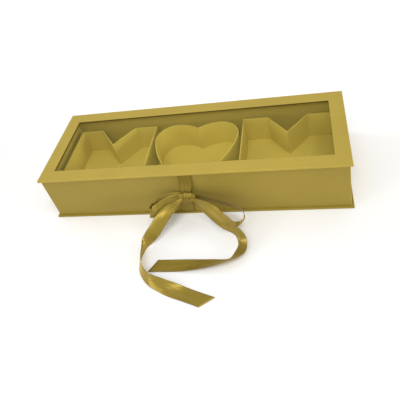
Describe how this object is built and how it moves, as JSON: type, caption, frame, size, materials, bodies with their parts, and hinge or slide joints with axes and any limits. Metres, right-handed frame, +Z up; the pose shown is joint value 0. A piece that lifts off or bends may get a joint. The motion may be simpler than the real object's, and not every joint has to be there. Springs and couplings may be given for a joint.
{
  "type": "letter-shaped flower box",
  "caption": "Rigid gift box for cut flowers: a hinged lid with a clear window over open card letters, with a satin ribbon bow at the front.",
  "frame": {"origin": "middle of the base's underside, on the surface that the box stands on", "axes": "+X along the box's length to its right end, +Y to the hinge at the back, +Z up; the ribbon is on the -Y side"},
  "size_m": [0.48, 0.3236, 0.0881],
  "materials": {
    "cover_paper": "matte",
    "lining_paper": "matte",
    "grey_board": "matte",
    "letter_card": "matte",
    "window_film": "gloss",
    "satin_ribbon": "satin"
  },
  "bodies": {
    "box": {"base_wrap": "cover_paper", "spine_wrap": "cover_paper", "lid_hinge_strip": "cover_paper", "tray_wrap": "cover_paper", "insert_wrap": "cover_paper", "spine_liner": "lining_paper", "base_board": "grey_board", "spine_board": "grey_board", "tray_bottom": "grey_board", "tray_front_wall": "grey_board", "tray_back_wall": "grey_board", "tray_left_wall": "grey_board", "tray_right_wall": "grey_board", "insert_board": "grey_board", "left_letter_wall": "letter_card", "heart_wall": "letter_card", "right_letter_wall": "letter_card", "left_letter_floor": "letter_card", "heart_floor": "letter_card", "right_letter_floor": "letter_card", "ribbon_lower_strand": "satin_ribbon", "bow_knot": "satin_ribbon", "bow_loop_left": "satin_ribbon", "bow_loop_right": "satin_ribbon", "bow_tail_left": "satin_ribbon", "bow_tail_right": "satin_ribbon"},
    "lid": {"lid_frame_board": "grey_board", "lid_wrap": "cover_paper", "lid_liner": "lining_paper", "window_film": "window_film", "ribbon_upper_strand": "satin_ribbon"}
  },
  "joints": [
    {"name": "lid_hinge", "type": "hinge", "parent": "box", "child": "lid", "pos_m": [0, 0.0835, 0.0851], "axis": [-1, 0, 0], "range_deg": [0, 180]}
  ]
}
